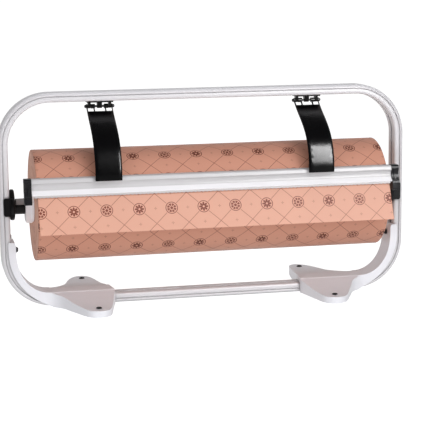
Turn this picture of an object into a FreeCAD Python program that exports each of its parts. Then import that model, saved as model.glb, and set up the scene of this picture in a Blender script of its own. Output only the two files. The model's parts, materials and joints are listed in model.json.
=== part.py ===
import FreeCAD, Part
import os
import math
import Sketcher
from FreeCAD import Vector, Placement, Rotation

# Counter-top dispenser and cutter for a roll of gift wrap.
# Frame of the model: X along the roll, Y from front to back, Z up, Z = 0 on the counter.
# Every sub-part is drawn about the middle plane of the frame loop and moved in Y by
# dims.frame_y, so that the origin lies under the middle of the whole object.

os.makedirs("parts", exist_ok=True)
doc = FreeCAD.newDocument("gift_wrap_cutter")

# ------------------------------------------------------------------ driving dimensions
DIMS = [
    ("frame_y", -14.6, "Y of the frame's middle plane"),
    ("frame_width", 589.0, "outer width of the frame loop"),
    ("frame_height", 302.0, "outer height of the frame loop"),
    ("frame_lift", 1.0, "underside of the frame loop above the counter"),
    ("profile_depth", 30.0, "depth of the frame profile, front to back"),
    ("profile_thick", 13.5, "thickness of the frame profile"),
    ("corner_radius", 73.0, "outer corner radius of the frame loop"),
    ("slot_gap", 6.4, "mouth of the slot along the inside of the profile"),
    ("slot_width", 11.0, "inner width of that slot"),
    ("slot_lip", 1.6, "thickness of the slot's lips"),
    ("slot_deep", 5.6, "depth of the slot"),
    ("foot_lift", 0.8, "underside of the feet above the counter"),
    ("foot_half_width", 18.4, "half width of the foot where it wraps the frame"),
    ("foot_end", 136.5, "inner end of a foot from the middle"),
    ("saddle_top", 22.0, "height of the saddle over the bottom bar"),
    ("pad_x", 169.0, "rubber pads, distance from the middle in X"),
    ("pad_front", -86.0, "front rubber pads, from the frame plane in Y"),
    ("pad_back", 103.5, "back rubber pads, from the frame plane in Y"),
    ("pad_bore", 2.25, "radius of the screw hole in a rubber pad"),
    ("pad_stem", 3.2, "radius of the rubber stem"),
    ("pad_disc", 7.6, "radius of the seat for the rubber disc under the foot"),
    ("pad_head", 4.1, "radius of the rubber head on top of the foot"),
    ("strip_screw_z", 82.5, "height of the screws at the top of the foot strips"),
    ("screw_radius", 2.0, "shank radius of the strip screws"),
    ("axis_height", 144.9, "height of the roll's axis"),
    ("roll_radius", 78.0, "radius of the full roll"),
    ("roll_width", 500.0, "width of the paper"),
    ("roll_shift", 2.3, "middle of the paper from the middle of the frame"),
    ("core_outer", 22.0, "outer radius of the cardboard core"),
    ("core_inner", 19.0, "inner radius of the cardboard core"),
    ("axle_radius", 10.2, "radius of the axle tube"),
    ("axle_wall", 1.5, "wall of the axle tube"),
    ("axle_half", 271.6, "half length of the axle"),
    ("cone_bore", 10.25, "bore radius of the roll cones"),
    ("cradle_inner", 10.5, "inner radius of the bearing cradles"),
    ("cradle_outer", 11.9, "outer radius of the bearing cradles"),
    ("cradle_start", 259.4, "inner end of the cradle arm from the middle"),
    ("flange_radius", 21.8, "radius of the bearing flange"),
    ("flange_rise", 1.8, "middle of the bearing flange above the roll's axis"),
    ("bearing_low", 132.8, "underside of the bearing block"),
    ("bearing_high", 158.3, "top of the bearing block"),
    ("hinge_y", -1.0, "hinge pins of the cutter, from the frame plane"),
    ("hinge_z", 281.6, "height of the hinge pins"),
    ("pin_radius", 1.5, "radius of the hinge pins"),
    ("eye_bore", 1.56, "bore radius of the eyes that turn on the pins"),
    ("band_x", 150.5, "middle of each spring band from the middle"),
    ("band_width", 37.0, "width of a spring band"),
    ("band_thick", 2.4, "thickness of a spring band"),
    ("bar_half", 255.5, "half length of the cutting bar"),
    ("cap_width", 10.3, "width of an end cap beside the bar"),
    ("web_thick", 0.4, "thickness of the free end of the paper"),
]
dims = doc.addObject("Spreadsheet::Sheet", "dims")
for row, (alias, value, note) in enumerate(DIMS, 1):
    dims.set("A%d" % row, note)
    dims.set("B%d" % row, str(value))
    dims.setAlias("B%d" % row, alias)
doc.recompute()


class Size:
    """A number together with the expression that gives it from the sheet."""

    def __init__(self, value, text):
        self.v, self.t = float(value), text

    @staticmethod
    def of(x):
        return x if isinstance(x, Size) else Size(x, repr(float(x)))

    def __add__(self, o):
        o = Size.of(o)
        return Size(self.v + o.v, "(%s + %s)" % (self.t, o.t))

    __radd__ = __add__

    def __sub__(self, o):
        o = Size.of(o)
        return Size(self.v - o.v, "(%s - %s)" % (self.t, o.t))

    def __rsub__(self, o):
        return Size.of(o) - self

    def __mul__(self, o):
        o = Size.of(o)
        return Size(self.v * o.v, "(%s * %s)" % (self.t, o.t))

    __rmul__ = __mul__

    def __truediv__(self, o):
        o = Size.of(o)
        return Size(self.v / o.v, "(%s / %s)" % (self.t, o.t))

    def __neg__(self):
        return Size(-self.v, "(0 - %s)" % self.t)


def D(alias):
    return Size(float(dims.get(alias)), "dims." + alias)


def num(x):
    return x.v if isinstance(x, Size) else float(x)


def bind(obj, prop, x):
    if isinstance(x, Size):
        obj.setExpression(prop, x.t)
    else:
        parts = prop.split(".")
        if len(parts) == 1:
            setattr(obj, prop, float(x))
        else:
            obj.setExpression(prop, repr(float(x)))


# ------------------------------------------------------------------ sketch helpers
def new_body(name, x=None):
    b = doc.addObject("PartDesign::Body", name)
    b.Label = name
    b.setExpression("Placement.Base.y", "dims.frame_y")
    if x is not None:
        bind(b, "Placement.Base.x", x)
    return b


def base_plane(b, role):
    return [o for o in b.Origin.OriginFeatures if o.Role == role][0]


def new_sketch(b, name, role, offset=0.0):
    sk = b.newObject("Sketcher::SketchObject", name)
    sk.AttachmentSupport = [(base_plane(b, role), "")]
    sk.MapMode = "FlatFace"
    if isinstance(offset, Size):
        sk.setExpression("AttachmentOffset.Base.z", offset.t)
        sk.AttachmentOffset = Placement(Vector(0, 0, offset.v), Rotation())
    else:
        sk.AttachmentOffset = Placement(Vector(0, 0, offset), Rotation())
    return sk


def hold(sk, kind, *args):
    """Add one constraint whose last argument is a number or a Size."""
    value = args[-1]
    i = sk.addConstraint(Sketcher.Constraint(kind, *(list(args[:-1]) + [num(value)])))
    if isinstance(value, Size):
        sk.setExpression("Constraints[%d]" % i, value.t)
    return i


def polygon(sk, pts):
    """Closed polyline, each corner held by its two coordinates."""
    n = len(pts)
    first = sk.GeometryCount
    for i in range(n):
        a, c = pts[i], pts[(i + 1) % n]
        sk.addGeometry(Part.LineSegment(Vector(num(a[0]), num(a[1]), 0),
                                        Vector(num(c[0]), num(c[1]), 0)), False)
    for i in range(n):
        sk.addConstraint(Sketcher.Constraint("Coincident", first + i, 2, first + (i + 1) % n, 1))
    for i in range(n):
        for kind, value in (("DistanceX", pts[i][0]), ("DistanceY", pts[i][1])):
            hold(sk, kind, first + i, 1, value)


def rectangle(sk, x0, x1, y0, y1):
    polygon(sk, [(x0, y0), (x1, y0), (x1, y1), (x0, y1)])


def circle(sk, x, y, r):
    i = sk.addGeometry(Part.Circle(Vector(num(x), num(y), 0), Vector(0, 0, 1), num(r)), False)
    hold(sk, "Radius", i, r)
    for kind, value in (("DistanceX", x), ("DistanceY", y)):
        hold(sk, kind, i, 3, value)


def outline(sk, items):
    """Free-form closed outline from lines (L), three-point arcs (A) and fair curves (S)."""
    for item in items:
        pts = [Vector(p[0], p[1], 0) for p in item[1:]]
        if item[0] == "L":
            for a, c in zip(pts, pts[1:]):
                sk.addGeometry(Part.LineSegment(a, c), False)
        elif item[0] == "A":
            sk.addGeometry(Part.Arc(pts[0], pts[1], pts[2]), False)
        else:
            curve = Part.BSplineCurve()
            curve.interpolate(pts)
            sk.addGeometry(curve, False)


def mirror_pts(pts):
    return [(-x, y) for x, y in pts]


def pad(b, name, role, lo, hi, draw):
    """Solid between two coordinates along the plane's axis."""
    start = {"XY_Plane": lo, "YZ_Plane": lo, "XZ_Plane": -hi if isinstance(hi, Size) else -float(hi)}[role]
    sk = new_sketch(b, name + "_sketch", role, start)
    draw(sk)
    f = b.newObject("PartDesign::Pad", name)
    f.Profile = sk
    length = (Size.of(hi) - lo) if (isinstance(hi, Size) or isinstance(lo, Size)) else hi - lo
    bind(f, "Length", length)
    before = 0.0 if b.Tip is None or b.Tip is f or b.Shape.isNull() else b.Shape.Volume
    b.Tip = f
    doc.recompute()
    if not f.Shape.isValid() or f.Shape.Volume <= before + 1e-3:
        raise RuntimeError("%s.%s added nothing" % (b.Label, name))
    return f


def pocket(b, name, role, lo, hi, draw):
    """Cut between two coordinates along the plane's axis."""
    start = {"XY_Plane": hi, "YZ_Plane": hi, "XZ_Plane": -lo if isinstance(lo, Size) else -float(lo)}[role]
    before = b.Shape.Volume
    sk = new_sketch(b, name + "_sketch", role, start)
    draw(sk)
    f = b.newObject("PartDesign::Pocket", name)
    f.Profile = sk
    length = (Size.of(hi) - lo) if (isinstance(hi, Size) or isinstance(lo, Size)) else hi - lo
    bind(f, "Length", length)
    b.Tip = f
    doc.recompute()
    if not f.Shape.isValid() or f.Shape.Volume >= before - 1e-3:
        raise RuntimeError("%s.%s cut nothing" % (b.Label, name))
    return f


def round_edges(b, name, size, pick):
    """Fillet the edges of the tip that pick() accepts; leave it out if none or if it fails."""
    tip = b.Tip
    names = ["Edge%d" % (i + 1) for i, e in enumerate(tip.Shape.Edges) if pick(e)]
    if not names:
        return None
    f = b.newObject("PartDesign::Fillet", name)
    f.Base = (tip, names)
    f.Radius = size
    b.Tip = f
    doc.recompute()
    bad = f.Shape.isNull() or not f.Shape.isValid() or any(x in ("Invalid", "Error") for x in f.State)
    if bad:
        print("left out", b.Label, name)
        b.removeObject(f)
        doc.removeObject(f.Name)
        b.Tip = tip
        doc.recompute()
        return None
    return f


NODES = []


def keep(obj):
    NODES.append(obj)
    return obj


def feature(label, shape, x=0.0):
    f = doc.addObject("Part::Feature", label)
    f.Label = label
    f.Shape = shape
    f.Placement = Placement(Vector(x, 0, 0), Rotation())
    f.setExpression("Placement.Base.y", "dims.frame_y")
    return keep(f)


def mirrored(label, source):
    f = doc.addObject("Part::Mirroring", label)
    f.Label = label
    f.Source = source
    f.Base = Vector(0, 0, 0)
    f.Normal = Vector(1, 0, 0)
    return keep(f)


# common values
hw = D("frame_width") / 2
z_low = D("frame_lift")
z_top = D("frame_lift") + D("frame_height")
inner_x = hw - D("profile_thick")
inner_low = z_low + D("profile_thick")
inner_top = z_top - D("profile_thick")
R_out = num(D("corner_radius"))
R_in = R_out - num(D("profile_thick"))
cx = num(hw) - R_out
cz = num(z_low) + R_out
axis_z = D("axis_height")

# ------------------------------------------------------------------ frame loop
# One extruded profile bent to a closed loop. On the front and back faces a narrow bead
# and a groove divide a flat outer lobe from a rounded inner one; the inside carries a
# slot for the fittings.
b = keep(new_body("frame_loop"))
spine = new_sketch(b, "loop_line", "XZ_Plane")


def draw_loop(sk):
    w, z0, z1, r = num(hw), num(z_low), num(z_top), R_out
    q = r * math.sqrt(0.5)
    P = lambda x, z: Vector(x, z, 0)
    geo = [Part.LineSegment(P(0, z0), P(w - r, z0)),
           Part.Arc(P(w - r, z0), P(w - r + q, z0 + r - q), P(w, z0 + r)),
           Part.LineSegment(P(w, z0 + r), P(w, z1 - r)),
           Part.Arc(P(w, z1 - r), P(w - r + q, z1 - r + q), P(w - r, z1)),
           Part.LineSegment(P(w - r, z1), P(-w + r, z1)),
           Part.Arc(P(-w + r, z1), P(-w + r - q, z1 - r + q), P(-w, z1 - r)),
           Part.LineSegment(P(-w, z1 - r), P(-w, z0 + r)),
           Part.Arc(P(-w, z0 + r), P(-w + r - q, z0 + r - q), P(-w + r, z0)),
           Part.LineSegment(P(-w + r, z0), P(0, z0))]
    sk.addGeometry(geo, False)
    sk.addConstraint(Sketcher.Constraint("Coincident", 8, 2, 0, 1))
    for i in (1, 3, 5, 7):
        sk.addConstraint(Sketcher.Constraint("Tangent", i - 1, 2, i, 1))
        sk.addConstraint(Sketcher.Constraint("Tangent", i, 2, i + 1, 1))
    for i in (0, 4, 8):
        sk.addConstraint(Sketcher.Constraint("Horizontal", i))
    for i in (2, 6):
        sk.addConstraint(Sketcher.Constraint("Vertical", i))
    hold(sk, "DistanceX", 0, 1, 0.0)
    hold(sk, "DistanceY", 0, 1, z_low)
    hold(sk, "DistanceX", 2, 1, hw)
    hold(sk, "DistanceX", 6, 1, -hw)
    hold(sk, "DistanceY", 4, 1, z_top)
    for i in (1, 3, 5, 7):
        hold(sk, "Radius", i, D("corner_radius"))


draw_loop(spine)
section = new_sketch(b, "profile", "YZ_Plane")


def draw_profile(sk):
    """u is measured from the outer edge inwards, v from the middle plane outwards."""
    half = D("profile_depth") / 2
    side = [(0.0, half - 5.2), (0.7, half - 2.9), (2.1, half - 1.1), (3.5, half - 0.25), (4.3, half),
            (5.0, half - 0.3), (5.3, half - 1.9), (6.2, half - 1.9), (6.6, half - 0.95), (7.4, half - 0.65),
            (9.0, half - 0.3),
            (10.9, half - 0.35), (12.3, half - 0.9), (13.1, half - 1.8)]
    thick = D("profile_thick")
    gap, wide, lip, deep = D("slot_gap") / 2, D("slot_width") / 2, D("slot_lip"), D("slot_deep")
    right = [(v, z_low + u) for u, v in side] + [(half - 3.0, z_low + thick)]
    slot = [(gap, z_low + thick), (gap, z_low + thick - lip), (wide, z_low + thick - lip),
            (wide, z_low + thick - deep)]
    pts = right + slot
    left = [(-v, z) for v, z in reversed(pts)]
    polygon(sk, pts + left)


draw_profile(section)
doc.recompute()
pipe = b.newObject("PartDesign::AdditivePipe", "loop")
pipe.Profile = section
pipe.Spine = (spine, [])
pipe.Mode = "Standard"
b.Tip = pipe
doc.recompute()
# threaded holes are not needed in the loop: all fittings use the slot

# ------------------------------------------------------------------ feet
# A moulded foot: a strip that follows the inside of the lower corner and laps over the
# front and back of the profile, running out into a plate with two ears under the roll.
inner_edge = [(274.6, 90.8), (274.2, 73.8), (270.5, 55.3), (263.1, 40.6), (253.0, 30.1), (240.8, 23.8),
              (228.0, 22.0)]
outer_edge = [(285.2, 92.0), (284.8, 76.3), (282.8, 62.4), (279.1, 50.4), (273.6, 39.4), (266.9, 30.0),
              (259.2, 21.7), (250.2, 14.3), (238.3, 7.4), (223.6, 0.8)]
front_run = [(237.0, -18.4), (230.0, -19.1), (223.2, -21.8), (216.0, -28.0), (205.2, -48.3), (194.5, -72.2), (187.2, -87.8), (181.1, -95.9),
             (173.6, -99.6), (162.2, -99.3), (154.3, -92.6), (149.1, -77.5), (145.0, -58.0), (140.9, -37.4),
             (136.5, -18.4)]
back_run = [(141.5, 18.4), (142.7, 27.0), (145.0, 38.5), (148.2, 61.5), (151.2, 89.2), (154.8, 111.0),
            (160.6, 125.0), (169.0, 129.5), (177.4, 125.0), (185.6, 110.0), (192.4, 89.0), (198.0, 64.3),
            (207.0, 42.5), (218.0, 28.5), (231.0, 21.5), (245.0, 18.4)]
assert front_run[-1][0] == num(D("foot_end"))


def build_foot():
    b = new_body("foot_right")
    lift, top = D("foot_lift"), D("saddle_top")

    def plan(sk):
        outline(sk, [("S",) + tuple(front_run), ("L", front_run[-1], back_run[0]),
                     ("S",) + tuple(back_run), ("L", (245.0, 18.4), (245.0, -18.4), front_run[0])])

    pad(b, "plate", "XY_Plane", lift, top, plan)
    f = num(D("foot_half_width"))

    def slopes(side):
        def draw(sk):
            s = side
            reach = 140.0
            fall = ([(18.4, 20.4), (60.0, 13.3), (94.0, 10.1), (reach, 9.8)] if s < 0
                    else [(18.4, 20.4), (60.0, 16.1), (125.0, 12.6), (reach, 12.2)])
            pts = [(s * 14.8, 27.0), (s * 14.8, num(top)), (s * 16.4, num(top) - 0.4), (s * 17.6, fall[0][1] + 0.35)]
            pts += [(s * y, z) for y, z in fall] + [(s * reach, 27.0)]
            if s < 0:
                pts = list(reversed(pts))
            polygon(sk, pts)
        return draw

    pocket(b, "front_slope", "YZ_Plane", 100.0, 260.0, slopes(-1.0))
    pocket(b, "back_slope", "YZ_Plane", 100.0, 260.0, slopes(1.0))

    def strip(sk):
        outline(sk, [("S",) + tuple(outer_edge), ("L", (223.6, 0.8), (214.0, 0.8), (214.0, 18.0), (228.0, 22.0)),
                     ("S",) + tuple(reversed(inner_edge)),
                     ("L", (274.6, 90.8), (276.0, 95.0), (284.2, 95.8), (285.2, 92.0))])

    pad(b, "strip", "XZ_Plane", -D("foot_half_width"), D("foot_half_width"), strip)

    def channel(sk):
        a = math.radians(45)
        ri = R_in
        outline(sk, [("L", (100.0, -5.0), (100.0, num(inner_low)), (cx, num(inner_low))),
                     ("A", (cx, num(inner_low)), (cx + ri * math.sin(a), cz - ri * math.cos(a)),
                      (num(inner_x), cz)),
                     ("L", (num(inner_x), cz), (num(inner_x), 120.0), (305.0, 120.0), (305.0, -5.0), (100.0, -5.0))])

    pocket(b, "channel", "XZ_Plane", -15.3, 15.3, channel)

    # below the corner of the frame the foot keeps to the curve of its outer edge
    def corner(sk):
        low = [p for p in outer_edge if p[1] <= 14.4]
        outline(sk, [("S",) + tuple(low), ("L", low[-1], (223.6, -5.0), (262.0, -5.0), (262.0, low[0][1]), low[0])])

    pocket(b, "corner_cut", "XZ_Plane", -50.0, 50.0, corner)
    # holes for the rubber pads, and a shallow seat for their discs
    for tag in ("front", "back"):
        pocket(b, tag + "_hole", "XY_Plane", -2.0, 30.0,
               lambda sk: circle(sk, D("pad_x"), D("pad_" + tag), D("pad_stem")))
        pocket(b, tag + "_seat", "XY_Plane", lift - 1.0, lift + 1.4,
               lambda sk: circle(sk, D("pad_x"), D("pad_" + tag), D("pad_disc")))
    # screw hole at the top of the strip
    pocket(b, "screw_hole", "YZ_Plane", 266.0, 288.0,
           lambda sk: circle(sk, 0.0, D("strip_screw_z"), D("screw_radius") + 0.1))
    return b


foot_right = keep(build_foot())
foot_left = mirrored("foot_left", foot_right)

# rubber pads pushed through the ears: disc below, stem, round head above, screw hole through
pads = []
for sx in (-1, 1):
    for py in (num(D("pad_front")), num(D("pad_back"))):
        top_z = 10.95 if py < 0 else 13.85
        rd = num(D("pad_disc")) - 0.05
        prof = [(num(D("pad_bore")), 0.0), (rd - 0.8, 0.0), (rd, 0.8), (rd, 2.15), (num(D("pad_stem")) - 0.05, 2.15),
                (num(D("pad_stem")) - 0.05, top_z + 0.15), (num(D("pad_head")), top_z + 0.15),
                (num(D("pad_head")) - 0.2, top_z + 1.0), (num(D("pad_head")) - 0.8, top_z + 1.6),
                (num(D("pad_bore")) + 0.1, top_z + 1.8), (num(D("pad_bore")), top_z + 1.8)]
        wire = Part.makePolygon([Vector(r, 0, z) for r, z in prof] + [Vector(prof[0][0], 0, prof[0][1])])
        s = Part.Face(wire).revolve(Vector(0, 0, 0), Vector(0, 0, 1), 360)
        s.translate(Vector(sx * num(D("pad_x")), py, 0))
        pads.append(s)
feature("rubber_pads", Part.makeCompound(pads))


# pan-head screw along X: head at x0, pointing to larger x
def pan_screw(x_seat, y, z, r_shank, r_head, h_head, length):
    prof = [(0, -h_head), (r_head * 0.45, -h_head), (r_head * 0.82, -h_head * 0.72), (r_head, -h_head * 0.28),
            (r_head, 0), (r_shank, 0), (r_shank, length - 0.4), (r_shank - 0.4, length), (0, length)]
    wire = Part.makePolygon([Vector(u, 0, r) for r, u in prof] + [Vector(prof[0][1], 0, prof[0][0])])
    s = Part.Face(wire).revolve(Vector(0, 0, 0), Vector(1, 0, 0), 360)
    slot = Part.makeBox(1.2, r_head * 1.5, 0.9, Vector(-h_head - 0.01, -r_head * 0.75, -0.45))
    slot2 = Part.makeBox(1.2, 0.9, r_head * 1.5, Vector(-h_head - 0.01, -0.45, -r_head * 0.75))
    s = s.cut(slot).cut(slot2)
    s.translate(Vector(x_seat, y, z))
    return s


zs = num(D("strip_screw_z"))
seat = 274.4
screw = pan_screw(seat, 0, zs, num(D("screw_radius")), 4.2, 4.2, 286.2 - seat)
feature("strip_screws", Part.makeCompound([screw, screw.mirror(Vector(0, 0, 0), Vector(1, 0, 0))]))
# the nut reaches up past the end of the strip, where a lug of it stands out of the slot
nut = Part.makeBox(3.2, 10.4, 27.6, Vector(num(inner_x) + num(D("slot_lip")), -5.2, zs - 5.0))
nut = nut.fuse(Part.makeBox(num(D("slot_lip")) + 2.2, 5.2, 5.2,
                            Vector(num(inner_x) - 1.7, -2.6, zs + 16.4))).removeSplitter()
nut = nut.cut(Part.makeCylinder(num(D("screw_radius")), 6, Vector(num(inner_x), 0, zs), Vector(1, 0, 0)))
feature("slot_nuts", Part.makeCompound([nut, nut.mirror(Vector(0, 0, 0), Vector(1, 0, 0))]))

# ------------------------------------------------------------------ bearings
# Black moulded bearing: a block on the inside of the post with a key in its slot, a front
# yoke, a back yoke with the clamp screw, a round flange and an open cradle
# for the axle. The cradle opens upwards and to the back, along the way the axle lifts out.
FRONT_LIP = 165.0    # degrees from +Y towards +Z
BACK_LIP = 320.0


def revolve(b, name, draw, rise=0.0):
    """Turn a half section in the XZ plane about a line along X, rise above the axle."""
    sk = new_sketch(b, name + "_sketch", "XZ_Plane")
    draw(sk)
    zr = num(axis_z) + rise
    sk.addGeometry(Part.LineSegment(Vector(-300, zr, 0), Vector(300, zr, 0)), True)
    doc.recompute()
    f = b.newObject("PartDesign::Revolution", name)
    f.Profile = sk
    f.ReferenceAxis = (sk, ["Axis0"])
    f.Angle = 360
    b.Tip = f
    doc.recompute()
    return f


def build_bearing():
    b = new_body("bearing_right")
    lo, hi = D("bearing_low"), D("bearing_high")

    pad(b, "block", "YZ_Plane", 274.4, inner_x, lambda sk: rectangle(sk, -18.6, 20.6, lo, hi))
    pad(b, "front_yoke", "XZ_Plane", -18.6, -15.3,
        lambda sk: polygon(sk, [(275.0, lo), (287.6, lo), (289.4, lo + 2.4), (289.4, hi - 1.6), (288.0, hi), (275.0, hi)]))
    pad(b, "back_yoke", "XZ_Plane", 15.3, 20.6,
        lambda sk: polygon(sk, [(275.0, lo), (288.4, lo + 3.0), (289.4, lo + 6.0), (289.4, hi - 6.0), (288.4, hi - 3.0), (275.0, hi)]))
    pad(b, "key_neck", "XY_Plane", lo + 2, hi - 2,
        lambda sk: rectangle(sk, inner_x - 0.5, inner_x + D("slot_lip") + 0.1, -3.1, 3.1))
    pad(b, "key_head", "XY_Plane", lo + 2, hi - 2,
        lambda sk: rectangle(sk, inner_x + D("slot_lip") + 0.1, inner_x + D("slot_deep") - 0.3, -5.3, 5.3))
    rise = num(D("flange_rise"))

    def disc(sk):
        zr = num(axis_z) + rise
        R = num(D("flange_radius"))
        polygon(sk, [(273.9, zr), (273.9, zr + R - 1.8), (274.4, zr + R - 0.6), (275.6, zr + R), (278.2, zr + R),
                     (279.4, zr + R - 0.6), (279.9, zr + R - 1.8), (279.9, zr)])

    revolve(b, "flange", disc, rise)

    def arm(sk):
        zc = num(axis_z)
        ro, ri = num(D("cradle_outer")), num(D("cradle_inner"))

        def P(r, deg):
            a = math.radians(deg)
            return (r * math.cos(a), zc + r * math.sin(a))

        mid = (FRONT_LIP + BACK_LIP) / 2
        outline(sk, [("A", P(ro, FRONT_LIP + 1.5), P(ro, mid), P(ro, BACK_LIP - 1.5)),
                     ("L", P(ro, BACK_LIP - 1.5), P(ro - 0.5, BACK_LIP), P(ri, BACK_LIP)),
                     ("A", P(ri, BACK_LIP), P(ri, mid), P(ri, FRONT_LIP)),
                     ("L", P(ri, FRONT_LIP), P(ro - 0.5, FRONT_LIP), P(ro, FRONT_LIP + 1.5))])

    pad(b, "cradle", "YZ_Plane", D("cradle_start"), 274.6, arm)
    pocket(b, "screw_hole", "XZ_Plane", 14.0, 22.0, lambda sk: circle(sk, 285.2, axis_z + 1.0, 2.5))
    return b


bearing_right = keep(build_bearing())
bearing_left = mirrored("bearing_left", bearing_right)


def thumb_screw(x, z):
    """Knurled clamp screw along Y, its tip on the back of the profile."""
    pts = []
    n = 24
    for i in range(2 * n):
        r = 5.6 if i % 2 == 0 else 5.15
        a = math.pi * i / n
        pts.append(Vector(r * math.cos(a), 0, r * math.sin(a)))
    head = Part.Face(Part.makePolygon(pts + [pts[0]])).extrude(Vector(0, 5.4, 0))
    head.translate(Vector(0, 21.4, 0))
    neck = Part.makeCylinder(3.4, 0.9, Vector(0, 20.6, 0), Vector(0, 1, 0))
    shank = Part.makeCylinder(2.5, 6.6, Vector(0, 14.9, 0), Vector(0, 1, 0))
    s = head.fuse(neck).fuse(shank).removeSplitter()
    s.translate(Vector(x, 0, z))
    return s


ts = thumb_screw(285.2, num(axis_z) + 1.0)
feature("bearing_clamp_screws", Part.makeCompound([ts, ts.mirror(Vector(0, 0, 0), Vector(1, 0, 0))]))


# ------------------------------------------------------------------ spring clips on the top bar
def build_clip(label, x):
    b = new_body(label, x)
    hy, hz = D("hinge_y"), D("hinge_z")
    half = D("band_width") / 2
    pad(b, "base", "XY_Plane", inner_top - 2.0, inner_top, lambda sk: rectangle(sk, -half, half, -11.0, 8.0))
    pad(b, "key_neck", "XY_Plane", inner_top - 0.2, inner_top + D("slot_lip") + 0.1,
        lambda sk: rectangle(sk, -14.0, 14.0, -3.1, 3.1))
    pad(b, "key_head", "XY_Plane", inner_top + D("slot_lip") + 0.1, inner_top + D("slot_deep") - 0.5,
        lambda sk: rectangle(sk, -14.0, 14.0, -5.3, 5.3))
    for tag, x0, x1 in (("a", -16.4, -12.6), ("b", -3.4, 3.4), ("c", 12.6, 16.4)):
        pad(b, "tab_" + tag, "YZ_Plane", x0, x1,
            lambda sk: outline(sk, [("L", (-6.0, 288.6), (-3.9, num(hz))),
                                    ("A", (-3.9, num(hz)), (num(hy), num(hz) - 2.9), (1.9, num(hz))),
                                    ("L", (1.9, num(hz)), (4.5, 288.6), (-6.0, 288.6))]))
    pocket(b, "pin_hole", "YZ_Plane", -20.0, 20.0, lambda sk: circle(sk, hy, hz, D("pin_radius")))
    return b


keep(build_clip("spring_clip_left", -D("band_x")))
keep(build_clip("spring_clip_right", D("band_x")))


def hinge_pin(x):
    hy, hz, r = num(D("hinge_y")), num(D("hinge_z")), num(D("pin_radius"))
    prof = [(0, -21.4), (1.3, -21.2), (2.3, -20.2), (2.5, -18.8), (r, -18.8), (r, 18.8), (2.5, 18.8), (2.3, 20.2),
            (1.3, 21.2), (0, 21.4)]
    wire = Part.makePolygon([Vector(u, 0, q) for q, u in prof] + [Vector(prof[0][1], 0, prof[0][0])])
    s = Part.Face(wire).revolve(Vector(0, 0, 0), Vector(1, 0, 0), 360)
    s.translate(Vector(x, hy, hz))
    return s


feature("clip_pins", Part.makeCompound([hinge_pin(-num(D("band_x"))), hinge_pin(num(D("band_x")))]))

# ------------------------------------------------------------------ spring bands
# A glossy strip: upright where it meets the bar, bent back over the roll, and ending in
# four narrow legs with eyes around the hinge pin.
band_line = [(-82.0, 186.8), (-82.0, 196.4), (-80.6, 207.4), (-76.6, 220.0), (-69.6, 232.1), (-58.8, 243.6),
             (-45.0, 253.6), (-30.0, 262.4), (-15.7, 270.7), (-6.3, 277.0), (-1.9, 280.8)]


def build_band(label, x):
    b = new_body(label, x)
    half, th = D("band_width") / 2, D("band_thick") / 2
    line = new_sketch(b, "band_line", "YZ_Plane")
    curve = Part.BSplineCurve()
    curve.interpolate([Vector(p[0], p[1], 0) for p in band_line],
                      InitialTangent=Vector(0, 1, 0), FinalTangent=Vector(0.72, 0.69, 0))
    line.addGeometry(curve, False)
    sec = new_sketch(b, "band_section", "XY_Plane", band_line[0][1])
    yc = band_line[0][0]
    # front face flat, long edges bevelled
    polygon(sec, [(-half, yc + th), (-half, yc + 0.3), (-half + 1.0, yc - 0.6), (-half + 2.6, yc - th),
                  (half - 2.6, yc - th), (half - 1.0, yc - 0.6), (half, yc + 0.3), (half, yc + th)])
    doc.recompute()
    f = b.newObject("PartDesign::AdditivePipe", "strip")
    f.Profile = sec
    f.Spine = (line, [])
    f.Mode = "Standard"
    b.Tip = f
    doc.recompute()
    # three windows below the hinge leave four legs
    for tag, x0, x1 in (("a", -16.9, -8.8), ("b", -7.2, 7.2), ("c", 8.8, 16.9)):
        pocket(b, "window_" + tag, "XY_Plane", 275.2, 290.0, lambda sk: rectangle(sk, x0, x1, -13.0, 6.0))
    hy, hz = D("hinge_y"), D("hinge_z")
    for tag, x0, x1 in (("a", -18.5, -16.9), ("b", -12.2, -6.4), ("c", 6.4, 12.2), ("d", 16.9, 18.5)):
        pad(b, "eye_" + tag, "YZ_Plane", x0, x1, lambda sk: circle(sk, hy, hz, 3.2))
    pocket(b, "eye_bore", "YZ_Plane", -20.0, 20.0, lambda sk: circle(sk, hy, hz, D("eye_bore")))
    return b


keep(build_band("spring_band_left", -D("band_x")))
keep(build_band("spring_band_right", D("band_x")))


# ------------------------------------------------------------------ band shoes
def build_shoe(x):
    """Block behind the lower end of a band, clipped over the top ledge of the bar."""
    prof = [(-80.75, 187.6), (-76.95, 187.6), (-75.95, 189.5), (-74.8, 191.0), (-72.7, 191.5), (-64.6, 191.8),
            (-64.6, 194.4), (-66.5, 197.8), (-70.5, 200.9), (-76.0, 203.9), (-79.1, 206.6)]
    # the front follows the back of the band
    back = [(-79.55, 205.5), (-80.3, 200.0), (-80.75, 195.0)]
    pts = [Vector(x - 14.5, y, z) for y, z in prof + back]
    s = Part.Face(Part.makePolygon(pts + [pts[0]])).extrude(Vector(29.0, 0, 0))
    for dx in (-9.0, 9.0):
        s = s.cut(Part.makeCylinder(1.5, 30, Vector(x + dx, -69.0, 185), Vector(0, 0, 1)))
        s = s.cut(Part.makeCylinder(2.9, 20, Vector(x + dx, -69.0, 194.6), Vector(0, 0, 1)))
    return s


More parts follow.
